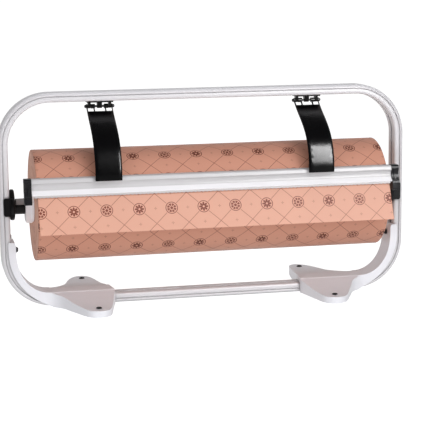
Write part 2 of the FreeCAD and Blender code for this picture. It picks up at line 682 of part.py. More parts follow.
feature("band_shoes", Part.makeCompound([build_shoe(-num(D("band_x"))), build_shoe(num(D("band_x")))]))
screws = []
for sx in (-1, 1):
    for dx in (-9.0, 9.0):
        x = sx * num(D("band_x")) + dx
        s = Part.makeCylinder(1.5, 194.6 - 189.1, Vector(x, -69.0, 189.1), Vector(0, 0, 1))
        s = s.fuse(Part.makeCone(2.8, 2.2, 1.9, Vector(x, -69.0, 194.6), Vector(0, 0, 1))).removeSplitter()
        s = s.cut(Part.makeBox(3.4, 0.7, 1.0, Vector(x - 1.7, -69.35, 195.6)))
        s = s.cut(Part.makeBox(0.7, 3.4, 1.0, Vector(x - 0.35, -70.7, 195.6)))
        screws.append(s)
feature("shoe_screws", Part.makeCompound(screws))

# ------------------------------------------------------------------ cutting bar
# Extrusion: a ledge on top, a hollow front face and an apron that leans out below it.
bar_outline = [
    ("L", (-65.0, 189.7), (-65.0, 191.7), (-72.6, 191.4)),
    ("A", (-72.6, 191.4), (-74.7, 190.6), (-75.7, 188.8)),
    ("L", (-75.7, 188.8), (-76.4, 186.2)),
    ("A", (-76.4, 186.2), (-76.1, 185.3), (-75.2, 184.9)),
    ("S", (-75.2, 184.9), (-74.0, 183.2), (-73.5, 180.6), (-73.7, 178.2), (-74.6, 176.2)),
    ("S", (-74.6, 176.2), (-76.1, 174.3), (-77.9, 171.9), (-79.4, 169.9)),
    ("L", (-79.4, 169.9), (-79.2, 169.2), (-78.4, 169.1), (-77.9, 169.6)),
    ("L", (-77.9, 169.6), (-75.1, 173.5)),
    ("S", (-75.1, 173.5), (-73.0, 176.4), (-71.9, 179.0), (-71.5, 182.0), (-71.5, 185.5), (-71.4, 188.5)),
    ("L", (-71.4, 188.5), (-70.6, 189.7), (-65.0, 189.7)),
]
b = keep(new_body("cutting_bar"))
pad(b, "extrusion", "YZ_Plane", -D("bar_half"), D("bar_half"), lambda sk: outline(sk, bar_outline))
for i, (sx, dx) in enumerate(((-1, -9.0), (-1, 9.0), (1, -9.0), (1, 9.0))):
    pocket(b, "screw_hole_%d" % i, "XY_Plane", 187.0, 193.0,
           lambda sk: circle(sk, D("band_x") * sx + dx, -69.0, 1.5))

# steel strip with fine teeth behind the apron
ty, tz = -77.9 + 75.1, 169.6 - 173.5
L_ = math.hypot(ty, tz)
ty, tz = ty / L_, tz / L_             # unit along the apron, downwards
ny, nz = -tz, ty                      # unit towards the roll
teeth = []
xa, xb, pitch = -253.0, 253.0, 5.5
count = int(round((xb - xa) / pitch))
for i in range(count):
    x0 = xa + i * pitch
    teeth += [(x0, 0.0), (x0 + pitch / 2, 0.9)]
teeth.append((xb, 0.0))
base_y, base_z = -77.9, 169.6


def on_apron(x, along, off):
    return Vector(x, base_y + ty * along + ny * off, base_z + tz * along + nz * off)


ring = [on_apron(x, 3.1 + d, 0.0) for x, d in teeth] + [on_apron(xb, -4.4, 0.0), on_apron(xa, -4.4, 0.0)]
edge = Part.Face(Part.makePolygon(ring + [ring[0]])).extrude(Vector(0, ny * 0.6, nz * 0.6))
feature("cutting_edge", edge)


# ------------------------------------------------------------------ end caps of the bar
def build_cap():
    b = new_body("end_cap_right")
    x0 = D("bar_half")
    x1 = x0 + D("cap_width")
    pad(b, "block", "YZ_Plane", x0, x1, lambda sk: outline(sk, [
        ("L", (-63.5, 187.5), (-63.5, 190.5)),
        ("A", (-63.5, 190.5), (-64.0, 191.7), (-65.2, 192.2)),
        ("L", (-65.2, 192.2), (-73.8, 192.2)),
        ("A", (-73.8, 192.2), (-76.6, 191.1), (-77.8, 188.5)),
        ("S", (-77.8, 188.5), (-77.4, 184.5), (-76.6, 180.5), (-77.4, 176.0), (-80.2, 171.5), (-82.2, 167.6)),
        ("L", (-82.2, 167.6), (-82.4, 160.0)),
        ("A", (-82.4, 160.0), (-81.6, 158.0), (-79.8, 157.2)),
        ("L", (-79.8, 157.2), (-70.5, 157.2), (-69.0, 158.7), (-69.0, 171.0), (-66.5, 175.0), (-66.5, 185.5),
         (-63.5, 187.5))]))
    # upright rib on the front and a step near the foot of the cap
    pad(b, "rib", "YZ_Plane", x0 + 3.0, x0 + 5.2, lambda sk: polygon(sk, [
        (-76.0, 187.4), (-79.2, 186.4), (-78.4, 180.5), (-79.4, 175.2), (-82.2, 170.8), (-80.0, 168.8), (-76.0, 171.5)]))
    pocket(b, "foot_step", "YZ_Plane", x0 + 6.2, x0 + 20.0, lambda sk: rectangle(sk, -84.0, -80.8, 155.0, 166.5))
    return b


end_cap_right = keep(build_cap())
end_cap_left = mirrored("end_cap_left", end_cap_right)

# ------------------------------------------------------------------ axle and roll
ax = D("axle_half")
b = keep(new_body("axle_tube"))
pad(b, "tube", "YZ_Plane", -ax, ax, lambda sk: circle(sk, 0.0, axis_z, D("axle_radius")))
pocket(b, "hollow", "YZ_Plane", -ax - 1.0, ax + 1.0, lambda sk: circle(sk, 0.0, axis_z, D("axle_radius") - D("axle_wall")))


def axle_plug():
    r = num(D("axle_radius")) - num(D("axle_wall"))
    a, zc = num(ax), num(axis_z)
    prof = [(0, a - 14.0), (r - 1.0, a - 14.0), (r, a - 13.0), (r, a), (num(D("axle_radius")) - 0.2, a),
            (num(D("axle_radius")) - 0.6, a + 0.6), (0, a + 0.6)]
    wire = Part.makePolygon([Vector(u, 0, q) for q, u in prof] + [Vector(prof[0][1], 0, prof[0][0])])
    s = Part.Face(wire).revolve(Vector(0, 0, 0), Vector(1, 0, 0), 360)
    s.translate(Vector(0, 0, zc))
    return s


plug = axle_plug()
feature("axle_end_plugs", Part.makeCompound([plug, plug.mirror(Vector(0, 0, 0), Vector(1, 0, 0))]))

roll_left = D("roll_shift") - D("roll_width") / 2
roll_right = D("roll_shift") + D("roll_width") / 2
for name, r1, r0 in (("core_tube", D("core_outer"), D("core_inner")), ("paper_roll", D("roll_radius"), D("core_outer"))):
    b = keep(new_body(name))
    pad(b, "layers", "YZ_Plane", roll_left, roll_right, lambda sk: circle(sk, 0.0, axis_z, r1))
    pocket(b, "bore", "YZ_Plane", roll_left - 1.0, roll_right + 1.0, lambda sk: circle(sk, 0.0, axis_z, r0))


def cone_profile(sk, face, s, flange, r_flange, reach):
    """Half section in the XZ plane; s points out of the roll."""
    zc = num(axis_z)
    rb = num(D("cone_bore"))
    ri = num(D("core_inner"))
    f = num(face)
    outline(sk, [("L", (f + s * flange, zc + rb), (f + s * flange, zc + r_flange - 0.8),
                  (f + s * (flange - 0.8), zc + r_flange), (f, zc + r_flange), (f, zc + ri - 0.05),
                  (f - s * 4.0, zc + ri - 0.15), (f - s * reach, zc + ri - 2.4), (f - s * reach, zc + rb),
                  (f + s * flange, zc + rb))])


# left cone: two-winged grip; right cone: plain flange
b = keep(new_body("roll_cone_left"))
revolve(b, "cone", lambda sk: cone_profile(sk, roll_left, -1.0, 3.0, 23.0, 32.0))


def wing(sk):
    x0 = num(roll_left)
    zc = num(axis_z)
    polygon(sk, [(x0 - 11.1, zc - 22.0), (x0 - 10.2, zc - 23.0), (x0 - 3.6, zc - 23.0), (x0 - 1.0, zc - 21.0),
                 (x0 - 1.0, zc + 21.0), (x0 - 3.6, zc + 23.0), (x0 - 10.2, zc + 23.0), (x0 - 11.1, zc + 22.0)])


pad(b, "grip", "XZ_Plane", -13.5, 13.5, wing)
pocket(b, "bore", "YZ_Plane", roll_left - 20.0, roll_left + 40.0, lambda sk: circle(sk, 0.0, axis_z, D("cone_bore")))
round_edges(b, "grip_edges", 0.7, lambda e: abs(e.BoundBox.YMax - e.BoundBox.YMin) < 0.01
            and abs(abs(e.BoundBox.YMax) - 13.5) < 0.01 and e.Length > 20 and e.BoundBox.XMax < num(roll_left) - 10.5)

b = keep(new_body("roll_cone_right"))
revolve(b, "cone", lambda sk: cone_profile(sk, roll_right, 1.0, 3.4, 23.0, 32.0))

# ------------------------------------------------------------------ free end of the paper
# It leaves the roll behind the bar, passes under its edge and stands out below it.
zc = num(axis_z)
gap = 0.3
th = num(D("web_thick"))
rm = num(D("roll_radius")) + gap
free_y, free_z = -99.4, 117.6
# tangent point from the free end to the circle of radius rm about the axis
dy, dz = free_y, free_z - zc
dist = math.hypot(dy, dz)
alpha = math.atan2(dz, dy)
beta = math.acos(rm / dist)
a1 = alpha - beta
t_y, t_z = rm * math.cos(a1), zc + rm * math.sin(a1)
n_y, n_z = math.cos(a1), math.sin(a1)
pts = [Vector(num(roll_left), t_y, t_z), Vector(num(roll_left), free_y, free_z),
       Vector(num(roll_left), free_y + n_y * th, free_z + n_z * th), Vector(num(roll_left), t_y + n_y * th, t_z + n_z * th)]
web = Part.Face(Part.makePolygon(pts + [pts[0]])).extrude(Vector(num(D("roll_width")), 0, 0))
feature("paper_web", web)
print("web leaves the roll at y %.2f z %.2f" % (t_y, t_z))

# ------------------------------------------------------------------ checks and export
doc.recompute()
for obj in doc.Objects:
    if any(s in ("Invalid", "Error") for s in obj.State):
        raise RuntimeError("failed object: %s %s" % (obj.Label, obj.State))
box = FreeCAD.BoundBox()
for f in os.listdir("parts"):
    if f.endswith(".step"):
        os.remove(os.path.join("parts", f))
for obj in NODES:
    s = obj.Shape
    if s.isNull() or not s.isValid() or s.Volume <= 0:
        raise RuntimeError("bad shape: " + obj.Label)
    box.add(s.BoundBox)
    s.exportStep(os.path.join("parts", obj.Label + ".step"))
    bb = s.BoundBox
    print("%-22s solids %d  vol %9.0f  x %.1f..%.1f  y %.1f..%.1f  z %.1f..%.1f" % (
        obj.Label, len(s.Solids), s.Volume, bb.XMin, bb.XMax, bb.YMin, bb.YMax, bb.ZMin, bb.ZMax))
print("nodes", len(NODES), "box", box)
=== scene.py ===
"""Gift wrap paper cutter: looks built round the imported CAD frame. Units are metres, row frame."""

import json
import math

import bmesh
import bpy
import numpy as np
from mathutils import Matrix, Vector

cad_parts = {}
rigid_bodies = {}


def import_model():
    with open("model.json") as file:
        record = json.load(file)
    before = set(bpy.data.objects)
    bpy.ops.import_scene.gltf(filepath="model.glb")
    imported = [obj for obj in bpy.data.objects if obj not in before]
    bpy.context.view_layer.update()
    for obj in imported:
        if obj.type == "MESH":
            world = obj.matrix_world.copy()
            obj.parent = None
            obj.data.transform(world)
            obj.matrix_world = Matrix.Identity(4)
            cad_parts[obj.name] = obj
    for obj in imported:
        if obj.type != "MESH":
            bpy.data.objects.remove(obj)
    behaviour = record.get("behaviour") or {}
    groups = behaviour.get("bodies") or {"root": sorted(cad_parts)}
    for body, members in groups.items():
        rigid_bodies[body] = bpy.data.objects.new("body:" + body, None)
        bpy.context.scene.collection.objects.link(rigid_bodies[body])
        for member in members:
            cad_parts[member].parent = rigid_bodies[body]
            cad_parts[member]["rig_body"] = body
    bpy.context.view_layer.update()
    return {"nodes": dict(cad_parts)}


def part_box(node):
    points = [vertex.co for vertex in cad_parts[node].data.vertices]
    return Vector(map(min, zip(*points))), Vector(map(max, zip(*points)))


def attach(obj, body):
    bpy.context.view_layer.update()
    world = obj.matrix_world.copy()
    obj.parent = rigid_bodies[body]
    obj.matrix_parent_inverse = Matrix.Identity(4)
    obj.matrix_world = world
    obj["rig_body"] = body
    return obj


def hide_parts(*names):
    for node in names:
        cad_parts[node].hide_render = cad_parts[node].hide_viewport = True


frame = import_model()
scene = bpy.context.scene

FY = -0.0146            # plane of the frame
AXIS_Z = 0.1449         # roll's axis
R = 0.078               # radius of the full roll
TURN = 2 * math.pi * R


# ------------------------------------------------------------------ node helper
class N:
    """A number in a node tree, with arithmetic that adds Math nodes."""

    def __init__(self, tree, socket):
        self.tree, self.socket = tree, socket

    def _op(self, operation, *others, clamp=False):
        node = self.tree.nodes.new("ShaderNodeMath")
        node.operation = operation
        node.use_clamp = clamp
        for i, value in enumerate((self,) + others):
            if isinstance(value, N):
                self.tree.links.new(value.socket, node.inputs[i])
            else:
                node.inputs[i].default_value = value
        return N(self.tree, node.outputs[0])

    def __add__(self, o): return self._op("ADD", o)
    def __radd__(self, o): return self._op("ADD", o)
    def __sub__(self, o): return self._op("SUBTRACT", o)
    def __rsub__(self, o): return (self * -1.0) + o
    def __mul__(self, o): return self._op("MULTIPLY", o)
    def __rmul__(self, o): return self._op("MULTIPLY", o)
    def __truediv__(self, o): return self._op("DIVIDE", o)
    def __neg__(self): return self * -1.0
    def abs(self): return self._op("ABSOLUTE")
    def round(self): return self._op("ROUND")
    def sqrt(self): return self._op("SQRT")
    def cos(self): return self._op("COSINE")
    def sin(self): return self._op("SINE")
    def power(self, e): return self._op("POWER", e)
    def atan2(self, o): return self._op("ARCTAN2", o)
    def least(self, o): return self._op("MINIMUM", o)
    def most(self, o): return self._op("MAXIMUM", o)
    def pingpong(self, s): return self._op("PINGPONG", s)
    def clamp(self): return self._op("ADD", 0.0, clamp=True)

    def below(self, limit, soft):
        """1 where the number is under limit, 0 above, with a soft edge."""
        return ((limit - self) / soft + 0.5 if not isinstance(limit, N) else (limit - self) / soft + 0.5).clamp()

    def above(self, limit, soft):
        return ((self - limit) / soft + 0.5).clamp()


def value_of(tree, socket):
    return N(tree, socket)


def new_material(name):
    m = bpy.data.materials.new(name)
    m.use_nodes = True
    t = m.node_tree
    bsdf = t.nodes["Principled BSDF"]
    return m, t, bsdf


def mix_colour(tree, factor, a, b):
    node = tree.nodes.new("ShaderNodeMix")
    node.data_type = "RGBA"
    for idx, v in ((0, factor), (6, a), (7, b)):
        if isinstance(v, N):
            tree.links.new(v.socket, node.inputs[idx])
        elif isinstance(v, bpy.types.NodeSocket):
            tree.links.new(v, node.inputs[idx])
        elif isinstance(v, (int, float)):
            node.inputs[idx].default_value = v
        else:
            node.inputs[idx].default_value = (*v, 1.0) if len(v) == 3 else v
    return node.outputs[2]


def obj_coord(tree):
    return tree.nodes.new("ShaderNodeTexCoord").outputs["Object"]


def scaled(tree, vector, scale):
    node = tree.nodes.new("ShaderNodeMapping")
    node.inputs["Scale"].default_value = scale
    tree.links.new(vector, node.inputs["Vector"])
    return node.outputs[0]


def noise(tree, vector, scale, detail=3.0, rough=0.5, distortion=0.0):
    node = tree.nodes.new("ShaderNodeTexNoise")
    node.inputs["Scale"].default_value = scale
    node.inputs["Detail"].default_value = detail
    node.inputs["Roughness"].default_value = rough
    node.inputs["Distortion"].default_value = distortion
    tree.links.new(vector, node.inputs["Vector"])
    return N(tree, node.outputs["Fac"])


def bump(tree, height, strength, distance, normal=None):
    node = tree.nodes.new("ShaderNodeBump")
    node.inputs["Strength"].default_value = strength
    node.inputs["Distance"].default_value = distance
    tree.links.new(height.socket, node.inputs["Height"])
    if normal is not None:
        tree.links.new(normal, node.inputs["Normal"])
    return node.outputs[0]


def srgb(r, g, b):
    out = []
    for c in (r, g, b):
        c = c / 255.0
        out.append(c / 12.92 if c <= 0.04045 else ((c + 0.055) / 1.055) ** 2.4)
    return tuple(out)


# ------------------------------------------------------------------ materials
def painted_hollow_shade(tree, reach, floor=0.5, slope=2.2, local=False):
    """1 on open surface, towards 0 in grooves and tight corners: an ambient-occlusion mask for painted shade."""
    node = tree.nodes.new("ShaderNodeAmbientOcclusion")
    node.samples = 8
    node.only_local = local
    node.inputs["Distance"].default_value = reach
    return ((N(tree, node.outputs["AO"]) - floor) * slope).clamp()


def powder_coat(name, base, rough=0.36, peel=0.04, dust_and_groove_shade=0.62, painted_light_band=None):
    """White powder-coated aluminium: faint orange peel, slow changes of tone, painted shade in the grooves."""
    m, t, p = new_material(name)
    co = obj_coord(t)
    slow = noise(t, co, 9.0, 2.0)
    speck = noise(t, co, 900.0, 2.0, 0.6)
    tone = (slow - 0.5) * 0.6 + (speck - 0.5) * 0.15 + 0.5
    darker = tuple(c * 0.93 for c in base)
    skin = mix_colour(t, tone.clamp(), darker, base)
    if painted_light_band:
        # painted light: the part below a height is painted paler, standing in for the lower apron being better
        # lit than the face above
        height, painted_lit_tone = painted_light_band
        sep = t.nodes.new("ShaderNodeSeparateXYZ")
        t.links.new(co, sep.inputs[0])
        skin = mix_colour(t, N(t, sep.outputs[2]).below(height, 0.0012), skin, painted_lit_tone)
    # painted shade: grooves and tight corners are darkened towards a darker copy of the base by the
    # ambient-occlusion mask
    t.links.new(mix_colour(t, painted_hollow_shade(t, 0.004, local=painted_light_band is not None), tuple(c * dust_and_groove_shade for c in base), skin), p.inputs["Base Color"])
    t.links.new(((noise(t, co, 60.0, 3.0) - 0.5) * 0.04 + rough).socket, p.inputs["Roughness"])
    t.links.new(bump(t, noise(t, co, 1500.0, 2.0, 0.5), peel, 0.0001), p.inputs["Normal"])
    p.inputs["Specular IOR Level"].default_value = 0.5
    return m


def moulded(name, base, rough, grain=0.12, variation=0.06, coat=0.0, scale=2600.0, specular=0.5):
    """Injection-moulded plastic: fine spark-eroded grain, slight flow marks."""
    m, t, p = new_material(name)
    co = obj_coord(t)
    flow = noise(t, scaled(t, co, (1.0, 2.2, 0.7)), 26.0, 3.0, 0.55, 0.8)
    lo = tuple(c * (1 - variation) for c in base)
    hi = tuple(min(1.0, c * (1 + variation)) for c in base)
    t.links.new(mix_colour(t, flow.clamp(), lo, hi), p.inputs["Base Color"])
    t.links.new(((noise(t, co, 140.0, 3.0) - 0.5) * min(0.16, rough * 0.3) + rough).socket, p.inputs["Roughness"])
    t.links.new(bump(t, noise(t, co, scale, 2.0, 0.6), grain, 0.00008), p.inputs["Normal"])
    p.inputs["Specular IOR Level"].default_value = specular
    p.inputs["Coat Weight"].default_value = coat
    p.inputs["Coat Roughness"].default_value = 0.15
    return m


def brushed(name, base, rough, stretch=(30.0, 900.0, 900.0), dirt=0.12, metallic=1.0):
    """Bare steel with fine lines along its length."""
    m, t, p = new_material(name)
    co = obj_coord(t)
    lines = noise(t, scaled(t, co, stretch), 1.0, 3.0, 0.6)
    patch = noise(t, co, 45.0, 3.0, 0.6)
    dark = tuple(c * (1 - dirt * 2.5) for c in base)
    tone = (lines - 0.5) * 0.5 + (patch - 0.5) * 0.8 + 0.6
    t.links.new(mix_colour(t, tone.clamp(), dark, base), p.inputs["Base Color"])
    p.inputs["Metallic"].default_value = metallic
    t.links.new(((lines - 0.5) * 0.22 + (patch - 0.5) * 0.1 + rough).socket, p.inputs["Roughness"])
    t.links.new(bump(t, lines, 0.14, 0.0001), p.inputs["Normal"])
    return m


def rubber(name):
    m, t, p = new_material(name)
    co = obj_coord(t)
    dust_and_groove_shade = noise(t, co, 300.0, 3.0)
    t.links.new(mix_colour(t, ((dust_and_groove_shade - 0.45) * 1.6).clamp(), (0.018, 0.017, 0.018), (0.045, 0.043, 0.045)), p.inputs["Base Color"])
    t.links.new(((dust_and_groove_shade - 0.5) * 0.1 + 0.78).socket, p.inputs["Roughness"])
    t.links.new(bump(t, noise(t, co, 1800.0, 2.0), 0.3, 0.0001), p.inputs["Normal"])
    return m


def core_board(name):
    """Spiral-wound brown board."""
    m, t, p = new_material(name)
    co = obj_coord(t)
    fibre = noise(t, scaled(t, co, (500.0, 120.0, 120.0)), 1.0, 4.0, 0.65)
    sep = t.nodes.new("ShaderNodeSeparateXYZ")
    t.links.new(co, sep.inputs[0])
    x, y, z = (N(t, sep.outputs[i]) for i in range(3))
    ang = (z - AXIS_Z).atan2(y - FY)
    seam = (ang * (0.045 / (2 * math.pi)) + x).pingpong(0.0225)
    line = seam.below(0.0004, 0.0003)
    tone = ((fibre - 0.5) * 1.2 + 0.5).clamp()
    c1 = mix_colour(t, tone, (0.20, 0.135, 0.085), (0.36, 0.26, 0.17))
    t.links.new(mix_colour(t, line * 0.6, c1, (0.10, 0.065, 0.04)), p.inputs["Base Color"])
    p.inputs["Roughness"].default_value = 0.85
    t.links.new(bump(t, fibre, 0.25, 0.0002), p.inputs["Normal"])
    return m


def paper_edges(name):
    """The cut ends of a wound roll: fine turns, some standing a little proud."""
    m, t, p = new_material(name)
    co = obj_coord(t)
    sep = t.nodes.new("ShaderNodeSeparateXYZ")
    t.links.new(co, sep.inputs[0])
    y, z = N(t, sep.outputs[1]) - FY, N(t, sep.outputs[2]) - AXIS_Z
    r = (y * y + z * z).sqrt()
    comb = t.nodes.new("ShaderNodeCombineXYZ")
    t.links.new((r * 900.0).socket, comb.inputs[0])
    t.links.new((z.atan2(y) * 0.35).abs().socket, comb.inputs[1])
    turns = noise(t, comb.outputs[0], 3.0, 4.0, 0.7)
    wide = noise(t, comb.outputs[0], 0.22, 2.0, 0.5)
    tone = ((turns - 0.5) * 1.3 + (wide - 0.5) * 0.8 + 0.55).clamp()
    t.links.new(mix_colour(t, tone, srgb(188, 134, 112), srgb(236, 190, 170)), p.inputs["Base Color"])
    p.inputs["Roughness"].default_value = 0.8
    t.links.new(bump(t, turns + wide * 0.6, 0.5, 0.0003), p.inputs["Normal"])
    return m


def wrap_print(name, base, ink, phase_u=0.0, phase_v=0.0, lift=0.0):
    """Coated wrapping paper: plain diamond trellis, a ringed flower on every second crossing
    and a sprig in each diamond. UV holds metres along the roll and metres round it."""
    m, t, p = new_material(name)
    uvn = t.nodes.new("ShaderNodeUVMap")
    uvn.uv_map = "wrap"
    sep = t.nodes.new("ShaderNodeSeparateXYZ")
    t.links.new(uvn.outputs[0], sep.inputs[0])
    W, H = 45.0, 43.02
    x = N(t, sep.outputs[0]) * 1000.0
    s = N(t, sep.outputs[1]) * 1000.0
    u = x / W + phase_u
    v = s / H + phase_v
    a, b = u + v, u - v
    ca, cb = a.round(), b.round()
    da, db = a - ca, b - cb
    fa, fb = da.abs(), db.abs()
    # the nearest crossing of the trellis, and whether it carries a flower: every second one,
    # which puts the flowers in straight rows and columns
    ka, kb = (a + 0.5).round(), (b + 0.5).round()
    pair = (ka + kb) * 0.5
    home = (pair - pair.round()).abs().below(0.25, 0.01)
    xa, xb = a + 0.5 - ka, b + 0.5 - kb
    dx = (xa + xb) * (0.5 * W)
    dy = (xa - xb) * (0.5 * H)
    r = (dx * dx + dy * dy).sqrt()
    th = dy.atan2(dx)
    # plain trellis lines that run from flower to flower
    wide = 0.0125
    lines = fa.above(0.5 - wide, 0.004).most(fb.above(0.5 - wide, 0.004))
    lattice = lines * (1.0 - home * r.below(9.6, 0.3))
    # two plain flowers in turn, each in a thin ring: eight petals, and eight beads round a boss
    turn = (ka * 0.5 - (ka * 0.5).round()).abs().above(0.1, 0.01)
    petals = ((th * 4.0).cos().abs().power(0.6) * 4.4 + 2.2)
    flower = r.below(petals, 0.3) * r.above(1.5, 0.25)
    beads = ((r - 4.7).abs().below(1.6, 0.3) * (th * 4.0).sin().abs().above(0.42, 0.2)).most(r.below(2.0, 0.3))
    motif = flower * (1.0 - turn) + beads * turn
    rosette = motif.most((r - 8.1).abs().below(0.5, 0.25)) * home
    # a small four-leaved sprig in the middle of every diamond
    sx, sy = (da + db) * (0.5 * W), (da - db) * (0.5 * H)
    sr = (sx * sx + sy * sy).sqrt()
    sprig = sr.below((sy.atan2(sx) * 2.0).cos().abs().power(2.0) * 2.1, 0.35)
    wear = noise(t, scaled(t, uvn.outputs[0], (420.0, 420.0, 1.0)), 1.0, 3.0, 0.6)
    patch = ((wear - 0.32) * 6.0).clamp()
    light_ink = (lattice * 0.66).most(sprig * 0.45)
    heavy_ink = rosette * (patch * 0.10 + 0.86)
    ink_mask = light_ink.most(heavy_ink)
    fibre = noise(t, scaled(t, uvn.outputs[0], (900.0, 260.0, 1.0)), 1.0, 4.0, 0.6)
    cloud = noise(t, scaled(t, uvn.outputs[0], (14.0, 14.0, 1.0)), 1.0, 3.0, 0.5)
    tone = ((fibre - 0.5) * 0.35 + (cloud - 0.5) * 0.6 + 0.5).clamp()
    lo = tuple(c * 0.95 for c in base)
    hi = tuple(min(1.0, c * 1.04) for c in base)
    paper = mix_colour(t, tone, lo, hi)
    t.links.new(mix_colour(t, ink_mask, paper, ink), p.inputs["Base Color"])
    rough = (fibre - 0.5) * 0.08 + 0.52 - ink_mask * 0.06
    t.links.new(rough.socket, p.inputs["Roughness"])
    p.inputs["Specular IOR Level"].default_value = 0.24
    p.inputs["Sheen Weight"].default_value = 0.10
    p.inputs["Sheen Roughness"].default_value = 0.35
    b1 = bump(t, fibre, 0.10, 0.00005)
    t.links.new(bump(t, cloud, 0.10, 0.004, b1), p.inputs["Normal"])
    return m


WHITE_METAL = powder_coat("white_powder_coat", (0.69, 0.678, 0.70))
# painted light and shade: the bar is a darker copy of the white coat, painted paler below 0.176 m, so its upper
# face reads as shaded and its lower apron as lit
BAR_METAL = powder_coat("white_bar_coat", (0.53, 0.52, 0.53), 0.38, 0.03, 0.95, (0.1760, (0.84, 0.83, 0.85)))
WHITE_PLASTIC = moulded("white_moulding", (0.77, 0.775, 0.815), 0.42, 0.10, 0.03)
# painted light: a paler copy of the white moulding for the cones, standing in for light their shaded place does
# not get
CONE_PLASTIC = moulded("cone_moulding", (0.93, 0.90, 0.92), 0.42, 0.10, 0.03)
BLACK_PLASTIC = moulded("black_moulding", (0.0040, 0.0038, 0.0045), 0.40, 0.22, 0.25, specular=0.25)
BLACK_GLOSS = moulded("black_gloss", (0.0012, 0.0011, 0.0015), 0.21, 0.02, 0.3, 0.0, 900.0, specular=0.36)
CAP_PLASTIC = moulded("black_cap", (0.0085, 0.0083, 0.0105), 0.33, 0.12, 0.25, specular=0.30)
BLACK_STEEL = brushed("black_steel", (0.055, 0.053, 0.055), 0.42, (400.0, 400.0, 400.0))
RUBBER = rubber("pad_rubber")
STEEL = brushed("bright_steel", (0.60, 0.59, 0.60), 0.30, (400.0, 400.0, 400.0))
AXLE_STEEL = brushed("axle_steel", (0.50, 0.48, 0.485), 0.40, metallic=0.45)
BLADE_STEEL = brushed("blade_steel", (0.58, 0.555, 0.555), 0.48, (25.0, 900.0, 900.0), 0.06, metallic=0.3)
BOARD = core_board("core_board")
EDGES = paper_edges("paper_edges")
# painted light and shade: roll and free end are the same paper in two tones, the roll painted darker and the free
# end lighter, standing in for how each is lit
PRINT = wrap_print("wrap_print", srgb(200, 143, 121), srgb(88, 32, 16), -0.0511, 0.0163)
WEB_PRINT = wrap_print("wrap_print_free_end", srgb(214, 160, 138), srgb(114, 44, 24), -0.0511, 0.0163)


# ------------------------------------------------------------------ meshes
def dress(node, material, width=0.0004, angle=32.0, segments=2, name=None):
    """A bevelled, smooth-shaded copy that stands for a CAD node, in the same place."""
    src = frame["nodes"][node]
    me = bpy.data.meshes.new((name or node) + "_look")
    bm = bmesh.new()
    bm.from_mesh(src.data)
    bmesh.ops.remove_doubles(bm, verts=bm.verts, dist=2e-6)
    limit = math.radians(angle)
    bmesh.ops.dissolve_limit(bm, angle_limit=math.radians(0.05), verts=bm.verts, edges=bm.edges,
                             delimit={"NORMAL"})
    for f in bm.faces:
        f.smooth = True
    for e in bm.edges:
        e.smooth = not (len(e.link_faces) == 2 and e.calc_face_angle(0.0) > limit)
    bm.to_mesh(me)
    bm.free()
    o = bpy.data.objects.new((name or node) + "_look", me)
    scene.collection.objects.link(o)
    me.materials.append(material)
    if width:
        b = o.modifiers.new("edge", "BEVEL")
        b.width = width
        b.segments = segments
        b.limit_method = "ANGLE"
        b.angle_limit = limit
        b.use_clamp_overlap = True
        b.miter_outer = "MITER_ARC"
    n = o.modifiers.new("normals", "WEIGHTED_NORMAL")
    n.mode = "FACE_AREA"
    n.weight = 50
    n.keep_sharp = True
    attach(o, src["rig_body"])
    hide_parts(node)
    return o


LOOK = {
    "frame_loop": (WHITE_METAL, 0.0),
    "foot_right": (WHITE_PLASTIC, 0.0022),
    "foot_left": (WHITE_PLASTIC, 0.0022),
    "rubber_pads": (RUBBER, 0.0003),
    "strip_screws": (BLACK_STEEL, 0.0002),
    "slot_nuts": (BLACK_STEEL, 0.0002),
    "bearing_right": (BLACK_PLASTIC, 0.0004),
    "bearing_left": (BLACK_PLASTIC, 0.0004),
    "bearing_clamp_screws": (BLACK_PLASTIC, 0.0002),
    "spring_clip_left": (BLACK_GLOSS, 0.0003),
    "spring_clip_right": (BLACK_GLOSS, 0.0003),
    "clip_pins": (BLACK_STEEL, 0.0002),
    "spring_band_left": (BLACK_GLOSS, 0.0003),
    "spring_band_right": (BLACK_GLOSS, 0.0003),
    "band_shoes": (BLACK_PLASTIC, 0.0003),
    "shoe_screws": (STEEL, 0.00015),
    "cutting_bar": (BAR_METAL, 0.0003),
    "cutting_edge": (BLADE_STEEL, 0.0),
    "end_cap_right": (CAP_PLASTIC, 0.0005),
    "end_cap_left": (CAP_PLASTIC, 0.0005),
    "axle_tube": (AXLE_STEEL, 0.0004),
    "axle_end_plugs": (BLACK_PLASTIC, 0.0004),
    "core_tube": (BOARD, 0.0003),
    "roll_cone_left": (CONE_PLASTIC, 0.0005),
    "roll_cone_right": (CONE_PLASTIC, 0.0005),
}
for node, (mat, width) in LOOK.items():
    dress(node, mat, width)


